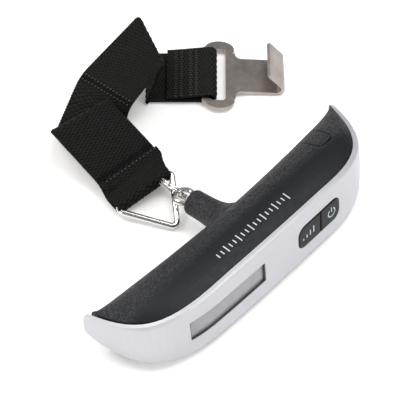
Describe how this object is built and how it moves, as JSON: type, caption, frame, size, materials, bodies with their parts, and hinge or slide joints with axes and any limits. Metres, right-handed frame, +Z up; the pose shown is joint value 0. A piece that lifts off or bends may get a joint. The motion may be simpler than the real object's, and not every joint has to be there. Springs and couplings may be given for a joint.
{
  "type": "digital luggage scale",
  "caption": "Handheld hanging scale: rounded bar handle with display and two keys, wire rings, folded webbing strap and flat steel hook",
  "frame": {"origin": "centre of the flat on the handle's back, on which it rests", "axes": "+X along the bar from the display end to the keys end, +Y from the bar to the neck and the strap, +Z up, to the printed side"},
  "size_m": [0.1431, 0.1104, 0.0256],
  "materials": {
    "silver_paint": "fine satin silver paint on moulded plastic",
    "black_abs": "finely textured, smoother beside the cover",
    "smoked_acrylic": "clear, polished",
    "black_rubber": "matte",
    "lcd_glass": "grey, switched off",
    "white_sheet": "white",
    "green_board": "solder mask",
    "black_epoxy": "cast drop",
    "key_rubber": "satin with white legends",
    "cell_sleeve": "printed sleeve, no marks",
    "plated_steel": "plated",
    "aluminium": "machined",
    "gauge_foil": "polyimide foil",
    "wire_insulation": "soft",
    "bright_nickel": "bright",
    "black_webbing": "coarse woven polypropylene",
    "rolled_steel": "dull, rolled"
  },
  "bodies": {
    "handle": {"handle_shell": "black_abs", "top_cover": "silver_paint", "display_window": "smoked_acrylic", "display_gasket": "black_rubber", "lcd_panel": "lcd_glass", "lcd_reflector": "white_sheet", "zebra_connector": "black_rubber", "circuit_board": "green_board", "chip_cap": "black_epoxy", "keypad_membrane": "black_rubber", "battery_cell": "cell_sleeve", "battery_contact_plus": "plated_steel", "battery_contact_minus": "plated_steel", "load_cell": "aluminium", "strain_gauge_front": "gauge_foil", "strain_gauge_back": "gauge_foil", "load_cell_bracket": "plated_steel", "load_cell_screw_left": "plated_steel", "load_cell_screw_right": "plated_steel", "sensor_wires": "wire_insulation", "eye_bolt": "plated_steel", "eye_bolt_nut": "plated_steel", "neck_bush": "plated_steel"},
    "unit_key": {"unit_key": "key_rubber"},
    "power_tare_key": {"power_tare_key": "key_rubber"},
    "battery_door": {"battery_door": "black_abs"},
    "split_ring": {"split_ring": "bright_nickel"},
    "triangle_ring": {"triangle_ring": "bright_nickel"},
    "strap_lower": {"strap_ring_loop": "black_webbing", "strap_lower_panel": "black_webbing"},
    "strap_middle": {"strap_middle_panel": "black_webbing"},
    "strap_upper": {"strap_upper_panel": "black_webbing", "strap_hook_loop": "black_webbing"},
    "hook": {"hook_plate": "rolled_steel"}
  },
  "joints": [
    {"name": "unit_press", "type": "slide", "parent": "handle", "child": "unit_key", "axis": [0, 0.996, -0.0889], "range_m": [0, 0.0007], "stiffness_N_per_m": 250},
    {"name": "power_tare_press", "type": "slide", "parent": "handle", "child": "power_tare_key", "axis": [0, 0.996, -0.0889], "range_m": [0, 0.0007], "stiffness_N_per_m": 250},
    {"name": "battery_door_slide", "type": "slide", "parent": "handle", "child": "battery_door", "axis": [0, 0.996, -0.0889], "range_m": [0, 0.014]},
    {"name": "split_ring_swing", "type": "hinge", "parent": "handle", "child": "split_ring", "pos_m": [0, 0.03386, 0.00938], "axis": [0.8753, 0.038, 0.4821], "range_deg": [-12, 12]},
    {"name": "triangle_swing", "type": "hinge", "parent": "split_ring", "child": "triangle_ring", "pos_m": [0.00278, 0.03793, 0.00491], "axis": [0.6508, 0.7167, 0.2506], "range_deg": [-8, 4]},
    {"name": "strap_lift", "type": "hinge", "parent": "triangle_ring", "child": "strap_lower", "pos_m": [-0.0041, 0.04625, 0.005], "axis": [0.9699, -0.1853, 0.1577], "range_deg": [-4, 30], "stiffness_Nm_per_rad": 0.02},
    {"name": "crest_fold", "type": "hinge", "parent": "strap_lower", "child": "strap_middle", "pos_m": [-0.0003, 0.0796, 0.01625], "axis": [0.9894, -0.1436, 0.0199], "range_deg": [-3, 20], "stiffness_Nm_per_rad": 0.04},
    {"name": "apex_fold", "type": "hinge", "parent": "strap_middle", "child": "strap_upper", "pos_m": [0.04255, 0.0845, 0.019], "axis": [-0.4266, -0.9009, -0.0797], "range_deg": [0, 22], "stiffness_Nm_per_rad": 0.04},
    {"name": "hook_swing", "type": "hinge", "parent": "strap_upper", "child": "hook", "pos_m": [0.05419, 0.06878, 0.00255], "axis": [-0.7501, -0.6613, 0], "range_deg": [-3, 18]}
  ]
}
